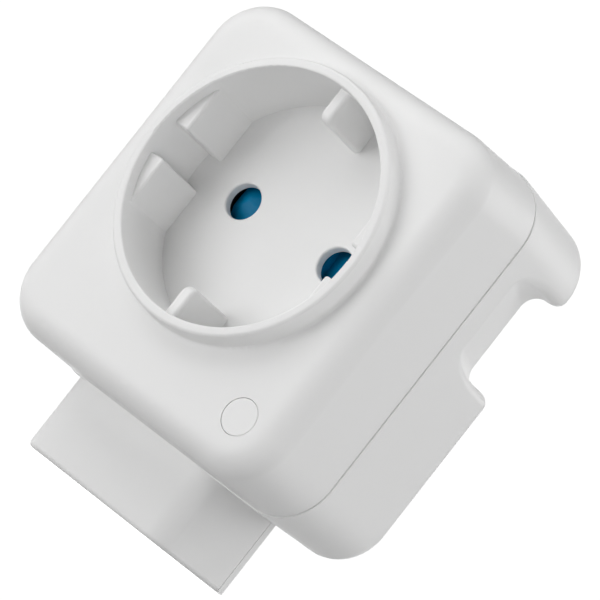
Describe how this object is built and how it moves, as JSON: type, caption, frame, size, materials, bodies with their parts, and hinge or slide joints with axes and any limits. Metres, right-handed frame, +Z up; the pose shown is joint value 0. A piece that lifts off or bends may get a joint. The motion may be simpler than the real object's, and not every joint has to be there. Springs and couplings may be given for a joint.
{
  "type": "switched plug adapter",
  "caption": "Compact switched plug adapter: round two-pole socket recess in a rounded white casing, finger pockets in the sides, a block below and two round plug pins behind",
  "frame": {"origin": "centre of the socket recess, on its axis, in the plane of the rim", "axes": "+X to the right seen from the front, +Y from the socket to the plug, +Z up"},
  "size_m": [0.054, 0.0615, 0.0708],
  "materials": {
    "casing_white": "satin",
    "shutter_blue": "satin",
    "button_white": "satin",
    "plated_pin": "nickel plated, satin",
    "contact_brass": "stamped",
    "zinc_steel": "zinc plated",
    "board_green": "solder resist",
    "grey_nylon": "moulded",
    "black_nylon": "moulded",
    "relay_case": "moulded",
    "capacitor_sleeve": "shrink sleeve",
    "disc_coat": "dipped",
    "ceramic": "painted ceramic",
    "led_lens": "clear",
    "tin_shield": "tinned"
  },
  "bodies": {
    "casing": {"front_shell": "casing_white", "shutter_pivot": "zinc_steel", "shutter_spring": "zinc_steel", "contact_carrier": "black_nylon", "carrier_cap": "grey_nylon", "live_contact": "contact_brass", "neutral_contact": "contact_brass", "live_busbar": "contact_brass", "neutral_busbar": "contact_brass", "live_plug_pin": "plated_pin", "neutral_plug_pin": "plated_pin", "main_board": "board_green", "relay": "relay_case", "power_module": "black_nylon", "filter_capacitors": "capacitor_sleeve", "varistor": "disc_coat", "fuse_resistor": "ceramic", "status_led": "led_lens", "tact_switch": "black_nylon", "pin_header": "black_nylon", "radio_module": "board_green", "radio_shield": "tin_shield", "radio_antenna": "contact_brass", "rear_shell": "casing_white", "rear_cover": "casing_white", "case_screws": "zinc_steel"},
    "shutter": {"shutter_rotor": "shutter_blue"},
    "button": {"power_button": "button_white", "switch_plunger": "grey_nylon"}
  },
  "joints": [
    {"name": "shutter_turn", "type": "hinge", "parent": "casing", "child": "shutter", "pos_m": [0, 0.0165, 0], "axis": [0, -1, 0], "range_deg": [0, 40], "stiffness_Nm_per_rad": 0.0015, "deforming": ["shutter_spring"]},
    {"name": "button_press", "type": "slide", "parent": "casing", "child": "button", "axis": [0, 1, 0], "range_m": [0, 0.0005], "stiffness_N_per_m": 30}
  ]
}
